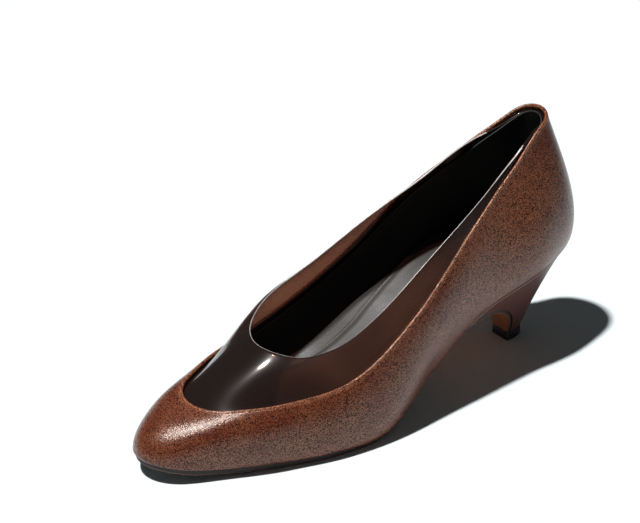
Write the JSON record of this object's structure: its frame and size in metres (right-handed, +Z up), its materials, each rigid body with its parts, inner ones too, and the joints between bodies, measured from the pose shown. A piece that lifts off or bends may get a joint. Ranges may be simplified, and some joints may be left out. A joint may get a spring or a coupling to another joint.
{
  "type": "mid heel pump",
  "caption": "Left pump with a pebbled leather upper, a see-through smoked inset round throat and collar, a thin leather sole and a tapered mid heel.",
  "frame": {"origin": "on the floor under the middle of the shoe's box", "axes": "+X towards the toe, +Y towards the outer side of the foot, +Z up"},
  "size_m": [0.239, 0.0778, 0.1156],
  "materials": {
    "upper_leather": "pebbled, half gloss",
    "smoked_vinyl": "clear, glossy, tinted brown",
    "sock_leather": "smooth, matt",
    "sole_leather": "smooth, stained edge",
    "heel_leather": "smooth, half gloss",
    "top_rubber": "matt"
  },
  "bodies": {
    "root": {"upper": "upper_leather", "vinyl_inset": "smoked_vinyl", "insole": "sock_leather", "outsole": "sole_leather", "heel": "heel_leather", "top_piece": "top_rubber"}
  },
  "joints": []
}
